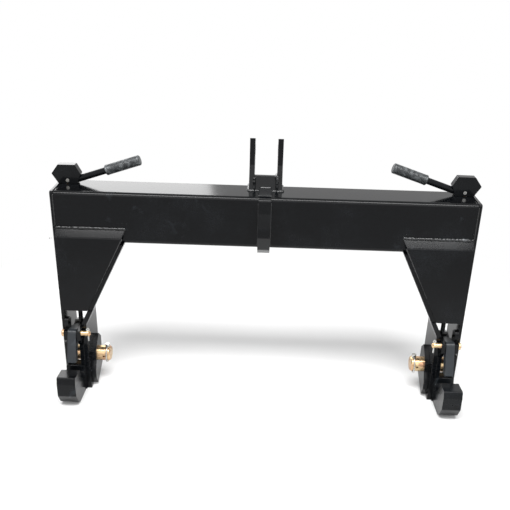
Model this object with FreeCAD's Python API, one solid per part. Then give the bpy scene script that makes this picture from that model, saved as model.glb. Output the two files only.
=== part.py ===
import FreeCAD, Part
import math
import os

# Three point quick hitch, category 1.
# Axes: X across the tractor, Y from the implement side to the tractor side, Z up.
# Origin: middle of the plan, level with the flat feet of the two lower hooks.
# Every length is in millimetres.  A depth is measured back from the front face
# of the cross beam; y() turns it into the part's own Y.

V = FreeCAD.Vector

# ---- driving dimensions: cross beam ----------------------------------------
BEAM_HEIGHT = 90.0
BEAM_DEPTH = 72.0
BEAM_TOP = 388.0            # top of the cross beam above the hook feet
BEAM_WALL = 5.0
INNER_BEND = 2.0            # inside bend radius of the rolled tube

# ---- driving dimensions: top hook and ears ---------------------------------
TOP_HOOK_REACH = 68.0       # belly of the top hook ahead of the beam
TOP_HOOK_THICK = 20.0
TOP_SEAT = 13.0             # radius of the top hook seat
TOP_SEAT_DROP = 12.0        # seat centre below the beam top
TOP_BACK = 3.0              # steel between the seat and the beam
TOP_TIP = 29.0              # top of the tip above the seat centre
TOP_TIP_FLAT = 7.0          # level top of the tip
TOP_NOSE = 10.0             # lean of the tip back from the belly
TOP_BELLY = 46.0            # foot of the belly above the underside of the beam
TOP_BELLY_FLAT = 12.0
TOP_KEEL = 19.0             # front of the keel above the underside of the beam
TOP_KEEL_BACK = 17.0        # front of the keel behind the belly
TOP_ROOT = 5.0              # rise of the keel's flat foot
TOP_ROOT_REACH = 30.0
TONGUE = 6.0                # thickness of the hook's tongue over the beam
EAR_GAP = 38.4
EAR_THICK = 9.0
EAR_HEIGHT = 87.0           # top of the ears above the beam
EAR_FALL = 12.4             # top of an ear falls this much to its rear
EAR_REACH = 26.0            # rear of the ears behind the beam
EAR_FOOT = 36.0             # depth of the front edge of an ear at the beam
EAR_FACE = 52.0             # depth of the front edge above the break
EAR_BREAK = 41.0            # height of that break above the beam
TOP_LINK_BORE = 20.0        # takes a 19 mm top link pin
TOP_LINK_DEPTH = 76.0
TOP_LINK_RISE = 62.0        # bore above the beam top
TIE_THICK = 6.0             # cross plate between the ears
TIE_HEIGHT = 24.0
TIE_SETBACK = 1.0           # cross plate behind the front edge of the ears

# ---- driving dimensions: leg plates ------------------------------------------
HOOK_SPACING = 682.0        # between the middles of the two lower hooks
HOOK_WIDTH = 33.0           # thickness of a lower hook, across X
SIDE_PLATE = 5.0            # outer plate of each leg
INNER_WALL = 8.0            # inner plate of each leg
WALL_KNEE = 138.0           # height where the slanted inner plate turns upright
WALL_SPREAD = 77.1          # how far the inner plate slants in under the beam
GUSSET = 5.0
GUSSET_STEP = 12.0          # gusset face ahead of the beam front face
GUSSET_FOOT = 172.0
GUSSET_LAP = 27.0           # top of the gusset above the underside of the beam
LEG_REAR_FOOT = 33.0        # height of the rear lower corner of the leg plates
LEG_FRONT_FOOT = 5.6        # height of the front lower corner of the outer plate

# ---- driving dimensions: lower hook -------------------------------------------
LOWER_REACH = 63.0          # tip of a lower hook ahead of the beam front face
HOOK_SEAT = 11.5            # radius of the lower hook seat, for a 22 mm pin
SEAT_HEIGHT = 47.0          # centre of the lower hook seat
SEAT_BACK = 1.0             # back of the seat ahead of the beam front face
HOOK_UPRIGHT = 20.0         # depth of the upright behind the seat
HOOK_TOP = 62.5             # height of the hook tip
HEEL_RISE = 4.0             # ledge behind the seat above the seat centre
REBATE = 37.0               # height where the outer plate lands on the hook

# ---- driving dimensions: lift pin ---------------------------------------------
LIFT_PIN = 28.0             # diameter of the lift pin
LIFT_PIN_Z = 58.0
PIN_SETBACK = 2.0           # steel between the hook upright and the pin bore
LIFT_REACH = 23.5           # bare length of the lift pin past its boss
BOSS_THICK = 9.0
LINCH = 5.0                 # diameter of the linch pin
LINCH_SETBACK = 6.0         # linch pin from the end of the lift pin
CROSS_HOLE = 4.0            # spare cross hole of the lift pin
CROSS_SETBACK = 11.0
BOSS_REAR = 9.0             # doubler behind the lift pin
BOSS_FRONT = 5.0            # doubler ahead of the lift pin
BOSS_NOSE = 14.0            # nose of the doubler ahead of the lift pin
BOSS_CROWN = 24.0           # crown of the doubler above the lift pin
BOSS_CROWN_BACK = 8.0
BOSS_THROAT = 8.0           # throat between nose and crown above the pin's foot
BOSS_SHOULDER = 10.0        # rear shoulder above the lift pin
BOSS_HEEL = 17.6            # rear foot below the lift pin
BOSS_TOE = 24.0             # nose foot below the lift pin
BOSS_FOOT = 40.2            # lowest corner below the lift pin
RING_WIRE = 2.6             # wire of the linch pin ring
RING_GAP = 0.7              # ring clear of the lift pin

# ---- driving dimensions: latch and its pivot ------------------------------------
LUG_OUTER = 7.0             # latch lug against the outer plate
LUG_INNER = 7.5             # latch lug against the inner plate
LUG_RISE = 26.0             # top of the lugs above the pivot
LUG_WALL = 2.0              # steel ahead of the pivot bore
LUG_LEDGE = 1.5             # steel above the pivot bore
LUG_DROP = 28.0             # rear foot of the outer lug below the pivot
LUG_POINT = 36.0            # lowest point of the outer lug below the pivot
LUG_DEPTH = 14.0
LUG_CHIN = 12.0             # foot of the front edge below the pivot
LUG_CROWN = 13.0            # depth of the rear of the outer crown
INNER_CREST = 5.0           # rise of the inner lug at its rear
INNER_BACK = 27.5           # rear of the inner lug
INNER_FLANK = 18.0          # rear of its lower half, on the hook upright
INNER_SPUR = 24.0           # foot of the rear step below the pivot
INNER_WAIST = 40.0          # head of the lower half below the pivot
LATCH_WIDTH = 14.9
LATCH_WALL = 2.6            # steel round the pivot bore of the latch
JAW_REACH = 32.0            # front of the jaw ahead of the beam front face
JAW_WIDTH = 13.0
JAW_HEIGHT = 27.7           # jaw above the seat centre
ARM_WIDTH = 9.0             # width of the latch arm in the yoke
ARM_SHOULDER = 20.0         # depth where the arm starts to narrow
PIVOT_PIN = 10.0            # latch pivot pin diameter
PIVOT_HEAD = 13.0
PIVOT_HEAD_THICK = 4.5
PIVOT_STEP = 7.0            # pivot ahead of the beam front face
PIVOT_Z = 124.0
PIVOT_TAIL = 8.5            # pivot pin past the inner plate
PIVOT_BEVEL = 2.5
COTTER = 2.6

# ---- driving dimensions: pull rod, yoke and spring --------------------------------
ROD = 8.0                   # pull rod diameter
ROD_DEPTH = 48.5
ROD_FOOT = 120.5
LIFT = 22.3                 # full upward travel of the pull rod
YOKE_ARM = 44.0             # level distance, latch pivot to yoke pin
YOKE_PIN = 8.0
YOKE_WIDTH = 16.0
YOKE_TOP = 126.0
YOKE_FALL = 5.0
EYE_WALL = 4.0              # steel round the slot of the latch arm
BUSH_WALL = 3.0
BUSH_LENGTH = 12.0
SPRING_WIRE = 2.6
SPRING_RADIUS = 8.0
SPRING_TURNS = 7.0
SPRING_FOOT = 230.5
WASHER = 22.0
WASHER_THICK = 2.5
STOP_PIN = 4.0

# ---- driving dimensions: release handle ---------------------------------------------
CAM_THICK = 13.0
CAM_PIN = 6.0
CAM_PIN_RISE = 6.5          # cam pin above the beam top
TANG = 4.6                  # thickness of the flattened top of the rod
RIVET_HEAD = 0.8
LEVER = 11.5
LEVER_SLOPE = 18.7          # degrees above the beam
LEVER_INSET = 15.75         # foot of the lever axis inboard of the cam pin
LEVER_LENGTH = 112.0
GRIP = 18.0
GRIP_LENGTH = 62.0
GRIP_START = 53.0           # grip from the foot of the lever
GRIP_BEVEL = 1.5

# ---- facets of bent wire -----------------------------------------------------------
WIRE_SIDES = 6
RING_STEPS = 24

# ---- clearances ------------------------------------------------------------------
SLIP = 0.3                  # each side of a part that turns between plates
FIT = 0.08                  # radial clearance of a running fit
SLOT_FIT = 0.4              # radial clearance of the yoke pin in its slot
CAM_GAP = 0.3               # cam and tang faces from what they turn against
LEVER_GAP = 1.5             # lever above the beam top

# ---- places worked out from the driving dimensions ------------------------------------
BEAM_FRONT = (TOP_HOOK_REACH - BEAM_DEPTH - EAR_REACH) / 2.0
BEAM_BEND = INNER_BEND + BEAM_WALL
BEAM_FOOT = BEAM_TOP - BEAM_HEIGHT
SIDE_OUT = (HOOK_SPACING + HOOK_WIDTH) / 2.0
SIDE_IN = SIDE_OUT - SIDE_PLATE
HOOK_IN = SIDE_OUT - HOOK_WIDTH
LATCH_HALF = LATCH_WIDTH / 2.0
LATCH_X = SIDE_IN - LUG_OUTER - SLIP - LATCH_HALF
WALL_OUT = LATCH_X - LATCH_HALF - SLIP - LUG_INNER
WALL_IN = WALL_OUT - INNER_WALL
WALL_TOP_X = WALL_IN - WALL_SPREAD
WALL_FRONT = GUSSET - GUSSET_STEP
BOSS_FACE = WALL_IN - BOSS_THICK
LIFT_PIN_END = BOSS_FACE - LIFT_REACH
LIFT_PIN_Y = HOOK_UPRIGHT + PIN_SETBACK + LIFT_PIN / 2.0
LINCH_X = LIFT_PIN_END + LINCH_SETBACK
RING_RADIUS = LIFT_PIN / 2.0 + RING_GAP + RING_WIRE / 2.0
SEAT_Y = -SEAT_BACK - HOOK_SEAT
TOP_SEAT_Y = -TOP_BACK - TOP_SEAT
TOP_SEAT_Z = BEAM_TOP - TOP_SEAT_DROP
PIVOT_Y = -PIVOT_STEP
HOOK_HEEL = SEAT_HEIGHT + HEEL_RISE
PIVOT_END = WALL_IN - PIVOT_TAIL
COTTER_X = PIVOT_END + PIVOT_TAIL / 2.0
YOKE_PIN_Y = PIVOT_Y + YOKE_ARM
YOKE_PIN_Z = PIVOT_Z - LIFT / 2.0
CAM_PIN_Z = BEAM_TOP + CAM_PIN_RISE
PLUMB = V(0, 0, 1)
ACROSS = V(1, 0, 0)
ALONG = V(0, 1, 0)


def y(depth):
    """Depth behind the beam front face, in the part's own frame."""
    return depth + BEAM_FRONT


def block(x0, x1, y0, y1, z0, z1):
    """Plain box; y0 and y1 are depths behind the beam front face."""
    corner = V(x0, y(y0), z0)
    return Part.makeBox(x1 - x0, y1 - y0, z1 - z0, corner)


def plate(loop, sweep):
    """Prism on a closed loop of corner points, along one vector."""
    loop.append(loop[0])
    return Part.Face(Part.makePolygon(loop)).extrude(sweep)


def side_profile(points, x0, x1):
    """Plate cut to a side outline of (depth, height) points, x0 to x1."""
    return plate([V(x0, y(d), h) for d, h in points], V(x1 - x0, 0, 0))


def front_profile(points, y0, y1):
    """Plate cut to a front outline of (x, height) points, depth y0 to y1."""
    return plate([V(px, y(y0), h) for px, h in points], V(0, y1 - y0, 0))


def bar_x(x0, x1, depth, height, dia):
    """Round bar lying across X."""
    return Part.makeCylinder(dia / 2.0, x1 - x0, V(x0, y(depth), height), ACROSS)


def bar_y(px, y0, y1, height, dia):
    """Round bar lying along Y."""
    return Part.makeCylinder(dia / 2.0, y1 - y0, V(px, y(y0), height), ALONG)


def bar_z(px, depth, z0, z1, dia):
    """Upright round bar."""
    return Part.makeCylinder(dia / 2.0, z1 - z0, V(px, y(depth), z0), PLUMB)


def straight_edges(shape, direction, spots):
    """Edges along one direction that pass through the given points."""
    found = []
    for edge in shape.Edges:
        if len(edge.Vertexes) != 2:
            continue
        a = edge.Vertexes[0].Point
        b = edge.Vertexes[1].Point
        run = b.sub(a)
        if run.Length < 0.5 or run.cross(direction).Length > 1e-4 * run.Length:
            continue
        for spot in spots:
            gap = spot.sub(a)
            if gap.cross(direction).Length < 0.05:
                found.append(edge)
                break
    return found


def round_side(shape, radius, points):
    """Round the corners of a side outline at (depth, height) points."""
    spots = [V(0, y(d), h) for d, h in points]
    return shape.makeFillet(radius, straight_edges(shape, ACROSS, spots))


def round_front(shape, radius, points):
    """Round the corners of a front outline at (x, height) points."""
    spots = [V(px, 0, h) for px, h in points]
    return shape.makeFillet(radius, straight_edges(shape, ALONG, spots))


def bevel_end(shape, size, at_x):
    """Bevel the round end of a bar that lies across X."""
    rims = []
    for edge in shape.Edges:
        box = edge.BoundBox
        if abs(box.XMin - at_x) < 0.01 and abs(box.XMax - at_x) < 0.01:
            rims.append(edge)
    return shape.makeChamfer(size, rims)


def facet_tube(rings, closed):
    """Solid with flat facets through a row of equal section loops."""
    faces = []
    pairs = list(zip(rings, rings[1:]))
    if closed:
        pairs.append((rings[-1], rings[0]))
    for near, far in pairs:
        for i in range(len(near)):
            j = (i + 1) % len(near)
            faces.append(Part.Face(Part.makePolygon([near[i], near[j], far[j], near[i]])))
            faces.append(Part.Face(Part.makePolygon([near[i], far[j], far[i], near[i]])))
    if not closed:
        for loop in (rings[0], rings[-1]):
            faces.append(Part.Face(Part.makePolygon(loop + [loop[0]])))
    shell = Part.makeShell(faces)
    shell.sewShape()
    solid = Part.Solid(shell)
    if solid.Volume < 0:
        solid.reverse()
    return solid


def wire_ring(centre, radius, wire, steps):
    """Closed wire ring standing across Y, in flat facets."""
    rings = []
    for i in range(steps):
        turn = 2 * math.pi * i / steps
        out = V(math.sin(turn), 0, math.cos(turn))
        loop = []
        for k in range(WIRE_SIDES):
            bend = 2 * math.pi * k / WIRE_SIDES
            spoke = out * (radius + wire / 2.0 * math.cos(bend))
            loop.append(centre + spoke + ALONG * (wire / 2.0 * math.sin(bend)))
        rings.append(loop)
    return facet_tube(rings, True)


# ---- cross beam and the middle group --------------------------------------
def make_beam():
    """Rectangular tube with the two pull rod holes through top and bottom."""
    outer = block(-SIDE_IN, SIDE_IN, 0, BEAM_DEPTH, BEAM_FOOT, BEAM_TOP)
    corners = [(0, BEAM_TOP), (0, BEAM_FOOT)]
    corners += [(BEAM_DEPTH, BEAM_TOP), (BEAM_DEPTH, BEAM_FOOT)]
    outer = round_side(outer, BEAM_BEND, corners)
    w = BEAM_WALL
    inner = block(-SIDE_IN - 1, SIDE_IN + 1, w, BEAM_DEPTH - w, BEAM_FOOT + w, BEAM_TOP - w)
    hollow = [(w, BEAM_TOP - w), (w, BEAM_FOOT + w)]
    hollow += [(BEAM_DEPTH - w, BEAM_TOP - w), (BEAM_DEPTH - w, BEAM_FOOT + w)]
    tube = outer.cut(round_side(inner, INNER_BEND, hollow))
    bush = ROD + 2 * BUSH_WALL
    free = ROD + BUSH_WALL
    for side in (-1, 1):
        px = side * LATCH_X
        tube = tube.cut(bar_z(px, ROD_DEPTH, BEAM_TOP - w - 1, BEAM_TOP + 1, bush))
        tube = tube.cut(bar_z(px, ROD_DEPTH, BEAM_FOOT - 1, BEAM_FOOT + w + 1, free))
    return tube


def make_top_hook():
    """Flame cut hook that carries the top pin of the implement.

    Its back stands against the beam front, bevelled to clear the bend of the
    tube, and a tongue runs over the beam top as far as the cross plate.  The
    mouth opens upward.
    """
    half = TOP_HOOK_THICK / 2.0
    reach = TOP_HOOK_REACH
    lip = TOP_SEAT_Y - TOP_SEAT - 0.5
    bevel = BEAM_BEND * (2.0 - math.sqrt(2.0))
    tongue = BEAM_TOP + TONGUE
    end = EAR_FOOT + TIE_SETBACK
    keel = (TOP_KEEL_BACK - reach, BEAM_FOOT + TOP_KEEL)
    belly = [(-reach, BEAM_FOOT + TOP_BELLY), (-reach, BEAM_FOOT + TOP_BELLY + TOP_BELLY_FLAT)]
    nose = TOP_NOSE - reach
    tip = [(nose, TOP_SEAT_Z + TOP_TIP), (nose + TOP_TIP_FLAT, TOP_SEAT_Z + TOP_TIP)]
    outline = [(0, BEAM_FOOT + TOP_ROOT / 2.0), (-TOP_ROOT_REACH, BEAM_FOOT + TOP_ROOT), keel] + belly
    outline += [(nose - 3.0, TOP_SEAT_Z + 6.0)] + tip + [(lip, TOP_SEAT_Z)]
    outline += [(-TOP_BACK, TOP_SEAT_Z), (-TOP_BACK, tongue), (end + ear_lean() * TONGUE, tongue)]
    outline += [(end, BEAM_TOP), (bevel, BEAM_TOP), (0, BEAM_TOP - bevel)]
    hook = side_profile(outline, -half, half)
    hook = round_side(hook, 9.0, [keel])
    hook = round_side(hook, 4.0, [belly[0]])
    hook = round_side(hook, 30.0, [belly[1]])
    hook = round_side(hook, 5.0, [tip[0]])
    hook = round_side(hook, 3.0, [tip[1], (-TOP_BACK, tongue)])
    return hook.cut(bar_x(-half - 1, half + 1, TOP_SEAT_Y, TOP_SEAT_Z, 2 * TOP_SEAT))


def ear_lean():
    """Depth gained per unit of height along the sloped front of an ear."""
    return (EAR_FACE - EAR_FOOT) / EAR_BREAK


def make_ear():
    """Upright ear for the tractor's top link, built at positive X.

    The front edge leans back from the beam and then stands upright, the top
    falls toward the rear, and the bore sits over the rear edge of the beam.
    """
    inside = EAR_GAP / 2.0
    top = BEAM_TOP + EAR_HEIGHT
    rear = BEAM_DEPTH + EAR_REACH
    crank = (rear, BEAM_TOP + EAR_BREAK + 1.0)
    outline = [(EAR_FOOT, BEAM_TOP), (EAR_FACE, BEAM_TOP + EAR_BREAK), (EAR_FACE, top)]
    heel = (rear, top - EAR_FALL)
    outline += [heel, crank, (BEAM_DEPTH - BEAM_BEND, BEAM_TOP)]
    ear = side_profile(outline, inside, inside + EAR_THICK)
    ear = round_side(ear, 12.0, [heel, crank])
    bore_z = BEAM_TOP + TOP_LINK_RISE
    return ear.cut(bar_x(inside - 1, inside + EAR_THICK + 1, TOP_LINK_DEPTH, bore_z, TOP_LINK_BORE))


def make_cross_plate():
    """Short plate that ties the feet of the two ears, leaning with them."""
    half = EAR_GAP / 2.0
    front = EAR_FOOT + TIE_SETBACK
    back = front + TIE_THICK * math.hypot(1.0, ear_lean())
    lean = ear_lean() * TIE_HEIGHT
    top = BEAM_TOP + TIE_HEIGHT
    outline = [(front, BEAM_TOP), (back, BEAM_TOP), (back + lean, top), (front + lean, top)]
    return side_profile(outline, -half, half)


# ---- one leg, built at positive X ------------------------------------------
def make_side_plate():
    """Outer plate of the leg, from the beam top down to the hook."""
    rear_foot = (BEAM_DEPTH, LEG_REAR_FOOT)
    outline = [(0, BEAM_TOP), (BEAM_DEPTH, BEAM_TOP), rear_foot]
    outline += [(HOOK_UPRIGHT, LEG_FRONT_FOOT), (HOOK_UPRIGHT, REBATE), (0, REBATE)]
    side = side_profile(outline, SIDE_IN, SIDE_OUT)
    side = round_side(side, 4.0, [(0, BEAM_TOP), (BEAM_DEPTH, BEAM_TOP)])
    side = round_side(side, 12.0, [rear_foot])
    return side.cut(bar_x(SIDE_IN - 1, SIDE_OUT + 1, LIFT_PIN_Y, LIFT_PIN_Z, LIFT_PIN))


def wall_lean():
    """Angle of the slanted inner plate from the upright."""
    return math.atan2(WALL_SPREAD, BEAM_FOOT - WALL_KNEE)


def wall_outer(height):
    """Outboard face X of the slanted inner plate at one height."""
    share = (height - WALL_KNEE) / (BEAM_FOOT - WALL_KNEE)
    return WALL_IN - WALL_SPREAD * share + INNER_WALL / math.cos(wall_lean())


def make_inner_wall():
    """Inner plate of the leg: upright below, slanted in under the beam."""
    knee = (WALL_OUT, WALL_KNEE + INNER_WALL * math.tan(wall_lean() / 2.0))
    front = [(WALL_IN, -1.0), (WALL_OUT, -1.0), knee]
    front += [(wall_outer(BEAM_FOOT), BEAM_FOOT), (WALL_TOP_X, BEAM_FOOT), (WALL_IN, WALL_KNEE)]
    wall = front_profile(front, WALL_FRONT, BEAM_DEPTH)
    wall = round_front(wall, 2 * INNER_WALL, [(WALL_IN, WALL_KNEE)])
    wall = round_front(wall, INNER_WALL, [knee])
    over = BEAM_FOOT + 1.0
    outline = [(WALL_FRONT, over), (WALL_FRONT, GUSSET_FOOT), (0, GUSSET_FOOT + WALL_FRONT)]
    outline += [(0, 40.0), (4.0, 0), (11.0, 0), (BEAM_DEPTH, LEG_REAR_FOOT), (BEAM_DEPTH, over)]
    wall = wall.common(side_profile(outline, WALL_TOP_X - 1, WALL_OUT + 1))
    return wall.cut(bar_x(WALL_IN - 1, WALL_OUT + 1, LIFT_PIN_Y, LIFT_PIN_Z, LIFT_PIN))


def make_gusset():
    """Bent cover over the front of the leg, welded to the beam front.

    The head slopes out of the beam face, the rest hangs upright, and a
    narrow return closes it against the outer plate.
    """
    top = BEAM_FOOT + GUSSET_LAP
    inner_bend = top - 17.0
    outer_bend = (-GUSSET_STEP, top - 14.5)
    head = [(0, top), (0, top - 7.0), (WALL_FRONT, inner_bend), (WALL_FRONT, GUSSET_FOOT)]
    head += [(-GUSSET_STEP, GUSSET_FOOT), outer_bend]
    cover = side_profile(head, WALL_TOP_X - GUSSET_LAP, SIDE_IN)
    cover = round_side(cover, GUSSET, [outer_bend])
    shape = [(wall_outer(GUSSET_FOOT), GUSSET_FOOT), (SIDE_IN, GUSSET_FOOT)]
    shape += [(SIDE_IN, top), (wall_outer(top), top)]
    cover = cover.common(front_profile(shape, -GUSSET_STEP - 1, 1))
    flange = block(SIDE_IN - GUSSET, SIDE_IN, WALL_FRONT, 0, GUSSET_FOOT, inner_bend)
    return cover.fuse(flange).removeSplitter()


def make_lower_hook():
    """Heavy hook at the foot of the leg with an upward mouth.

    The seat is a half round for the implement's lower pin.  The upright
    behind the seat fills the leg between its plates and is rebated to take
    the outer one.
    """
    lip = SEAT_Y - HOOK_SEAT - 4.0
    heel = HOOK_HEEL
    reach = LOWER_REACH
    chin = [(-reach + 12.0, 7.0), (-reach + 22.0, 0)]
    nose = (-reach + 0.5, 26.0)
    tip = [(-reach + 3.0, HOOK_TOP), (lip, HOOK_TOP - 3.0)]
    outline = [chin[1], chin[0], nose, (-reach, SEAT_HEIGHT + 3.0)] + tip
    outline += [(SEAT_Y - HOOK_SEAT, SEAT_HEIGHT), (-SEAT_BACK, SEAT_HEIGHT), (0, heel)]
    outline += [(HOOK_UPRIGHT, heel), (HOOK_UPRIGHT, LEG_FRONT_FOOT), (HOOK_UPRIGHT - 9.5, 0)]
    hook = side_profile(outline, WALL_OUT, SIDE_OUT)
    hook = round_side(hook, 5.0, chin)
    hook = round_side(hook, 6.0, [nose])
    hook = round_side(hook, 3.0, tip)
    hook = round_side(hook, 2.0, [(0, heel)])
    hook = hook.cut(bar_x(WALL_OUT - 1, SIDE_OUT + 1, SEAT_Y, SEAT_HEIGHT, 2 * HOOK_SEAT))
    rebate = block(SIDE_IN, SIDE_OUT + 1, 0, HOOK_UPRIGHT + 1, REBATE, HOOK_TOP + 1)
    nose_side = block(WALL_OUT - 1, HOOK_IN, -reach - 1, 0, -1, HOOK_TOP + 1)
    return hook.cut(rebate).cut(nose_side)


def make_boss():
    """Six sided doubler that stiffens the inner plate round the lift pin."""
    half = LIFT_PIN / 2.0
    pin_y = LIFT_PIN_Y
    pin_z = LIFT_PIN_Z
    rear = pin_y + half + BOSS_REAR
    front = pin_y - half - BOSS_FRONT
    nose = pin_y - half - BOSS_NOSE
    top = pin_z + half
    foot = pin_z - half
    tail = [(rear, foot - BOSS_HEEL), (nose, foot - BOSS_TOE)]
    crown = [(pin_y + BOSS_CROWN_BACK, top + BOSS_CROWN), (rear, top + BOSS_SHOULDER), (front, top - 2.0)]
    outline = [crown[0], crown[1], tail[0], (front, foot - BOSS_FOOT), tail[1]]
    outline += [(nose, foot - BOSS_SHOULDER), (front, foot + BOSS_THROAT), crown[2]]
    boss = side_profile(outline, BOSS_FACE, WALL_IN)
    boss = round_side(boss, 4.0, tail)
    boss = round_side(boss, 2.0, crown)
    return boss.cut(bar_x(BOSS_FACE - 1, WALL_IN + 1, pin_y, pin_z, LIFT_PIN))


def make_lift_pin():
    """Stud the tractor's lower link drops over, with its two cross holes."""
    pin = bar_x(LIFT_PIN_END, SIDE_OUT, LIFT_PIN_Y, LIFT_PIN_Z, LIFT_PIN)
    pin = bevel_end(pin, 2.0, LIFT_PIN_END)
    tall = LIFT_PIN / 2.0 + 1
    spare_x = LIFT_PIN_END + CROSS_SETBACK
    linch = bar_z(LINCH_X, LIFT_PIN_Y, LIFT_PIN_Z - tall, LIFT_PIN_Z + tall, LINCH + 2 * FIT)
    cross = bar_y(spare_x, LIFT_PIN_Y - tall, LIFT_PIN_Y + tall, LIFT_PIN_Z, CROSS_HOLE)
    return pin.cut(linch).cut(cross)


def make_linch_pin():
    """Linch pin through the lift pin, with the bored head the ring hangs in."""
    half = LIFT_PIN / 2.0
    head_z = LIFT_PIN_Z + RING_RADIUS
    bore = RING_WIRE + 1.8
    tip_z = LIFT_PIN_Z - half - RING_GAP + 0.3
    pin = bar_z(LINCH_X, LIFT_PIN_Y, tip_z, LIFT_PIN_Z + half + 0.2, LINCH)
    head = bar_z(LINCH_X, LIFT_PIN_Y, LIFT_PIN_Z + half + 0.2, head_z + 4.0, LINCH + 3.0)
    pin = pin.fuse(head)
    return pin.cut(bar_y(LINCH_X, LIFT_PIN_Y - half, LIFT_PIN_Y + half, head_z, bore))


def make_linch_ring():
    """Wire ring hanging from the linch pin head, round the lift pin."""
    centre = V(LINCH_X, y(LIFT_PIN_Y), LIFT_PIN_Z)
    ring = wire_ring(V(0, 0, 0), RING_RADIUS, RING_WIRE, RING_STEPS)
    ring.rotate(V(0, 0, 0), PLUMB, 90)
    ring.translate(centre)
    return ring


def make_outer_lug():
    """Outer latch lug: ledge over the pivot bore and a tall rounded crown."""
    x0 = LATCH_X + LATCH_HALF + SLIP
    half = PIVOT_PIN / 2.0
    front = PIVOT_Y - half - LUG_WALL
    ledge = (front, PIVOT_Z + half + LUG_LEDGE)
    crown = [(-4.0, PIVOT_Z + LUG_RISE), (LUG_CROWN, PIVOT_Z + LUG_RISE)]
    outline = [ledge, (-4.0, ledge[1])] + crown
    outline += [(LUG_DEPTH, PIVOT_Z - LUG_DROP), (2.0, PIVOT_Z - LUG_POINT), (0, PIVOT_Z - LUG_DROP)]
    outline += [(front, PIVOT_Z - LUG_CHIN)]
    lug = side_profile(outline, x0, SIDE_IN)
    lug = round_side(lug, 7.5, crown)
    lug = round_side(lug, 1.5, [ledge])
    return lug.cut(bar_x(x0 - 1, SIDE_IN + 1, PIVOT_Y, PIVOT_Z, PIVOT_PIN))


def make_inner_lug():
    """Inner latch lug: full height plate on the hook upright, crest at the rear."""
    x1 = LATCH_X - LATCH_HALF - SLIP
    half = PIVOT_PIN / 2.0
    front = PIVOT_Y - half - LUG_WALL
    ledge = (front, PIVOT_Z + half + LUG_LEDGE)
    crest = ledge[1] + INNER_CREST
    rise = INNER_BACK - INNER_CREST
    outline = [ledge, (rise - 3.5, ledge[1]), (rise + 1.0, crest), (INNER_BACK, crest)]
    outline += [(INNER_BACK, PIVOT_Z - INNER_SPUR), (INNER_FLANK, PIVOT_Z - INNER_WAIST)]
    outline += [(INNER_FLANK, HOOK_HEEL), (0, HOOK_HEEL), (0, PIVOT_Z - LUG_DROP)]
    outline += [(front, PIVOT_Z - LUG_CHIN)]
    lug = side_profile(outline, WALL_OUT, x1)
    lug = round_side(lug, 1.5, [ledge])
    return lug.cut(bar_x(WALL_OUT - 1, x1 + 1, PIVOT_Y, PIVOT_Z, PIVOT_PIN))


def make_pivot_pin():
    """Headed clevis pin the latch swings on; cross drilled for the cotter."""
    end = SIDE_IN + PIVOT_HEAD_THICK
    body = bevel_end(bar_x(PIVOT_END, SIDE_IN, PIVOT_Y, PIVOT_Z, PIVOT_PIN), PIVOT_BEVEL, PIVOT_END)
    head = bevel_end(bar_x(SIDE_IN, end, PIVOT_Y, PIVOT_Z, PIVOT_HEAD), 1.0, end)
    pin = body.fuse(head).removeSplitter()
    hole = PIVOT_PIN / 2.0 + 1
    return pin.cut(bar_z(COTTER_X, PIVOT_Y, PIVOT_Z - hole, PIVOT_Z + hole, COTTER))


def make_cotter():
    """Split pin through the inner end of the pivot pin."""
    half = PIVOT_PIN / 2.0
    eye_z = PIVOT_Z + half + 3.0
    shank = bar_z(COTTER_X, PIVOT_Y, PIVOT_Z - half - 10.0, eye_z - 2.0, COTTER)
    eye = wire_ring(V(COTTER_X, y(PIVOT_Y), eye_z), 2.2, COTTER - 0.1, RING_STEPS // 2)
    return shank.fuse(eye)


# ---- moving parts of one side ----------------------------------------------
def make_jaw(x0, x1):
    """Jaw of the latch, leaning from the pivot boss down over the seat."""
    boss_r = PIVOT_PIN / 2.0 + LATCH_WALL
    jaw_z = SEAT_HEIGHT + JAW_HEIGHT
    tip = [(-JAW_REACH, jaw_z), (-JAW_REACH + JAW_WIDTH, jaw_z - 1.0)]
    lean = math.atan2(JAW_REACH + PIVOT_Y, PIVOT_Z - jaw_z)
    shoulder = (PIVOT_Y - boss_r * math.cos(lean), PIVOT_Z + boss_r * math.sin(lean))
    outline = [shoulder] + tip
    outline += [(tip[1][0] + 10.0, PIVOT_Z - 26.0), (PIVOT_Y + boss_r, PIVOT_Z - 3.0)]
    jaw = round_side(side_profile(outline, x0, x1), 2.0, tip)
    return jaw.fuse(bar_x(x0, x1, PIVOT_Y, PIVOT_Z, 2 * boss_r))


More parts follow.
